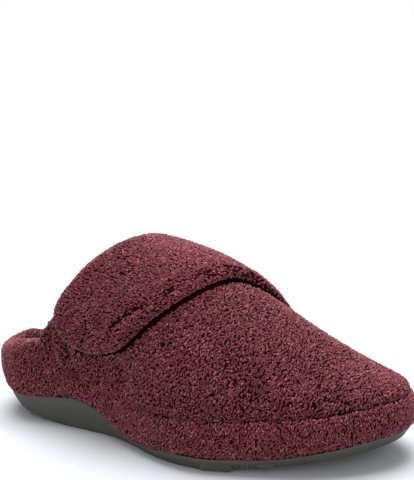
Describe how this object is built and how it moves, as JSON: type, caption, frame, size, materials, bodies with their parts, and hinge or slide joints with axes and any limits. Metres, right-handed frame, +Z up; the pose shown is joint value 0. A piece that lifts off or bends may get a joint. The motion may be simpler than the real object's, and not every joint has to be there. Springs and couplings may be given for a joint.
{
  "type": "closed toe slipper",
  "caption": "Right closed toe mule slipper of terry cloth with an open heel cup, a wide padded instep strap and a rubber cup sole.",
  "frame": {"origin": "on the floor below the middle of the slipper's box", "axes": "+X along the foot towards the toe, +Y towards the medial side, +Z up"},
  "size_m": [0.2592, 0.106, 0.1147],
  "materials": {
    "rubber": "matt moulded rubber, olive grey",
    "terry": "deep burgundy terry loops over foam",
    "terry_sock": "burgundy terry sock, shorter loops"
  },
  "bodies": {
    "root": {"outsole": "rubber", "midsole": "terry", "insole": "terry_sock", "upper": "terry", "strap": "terry"}
  },
  "joints": []
}
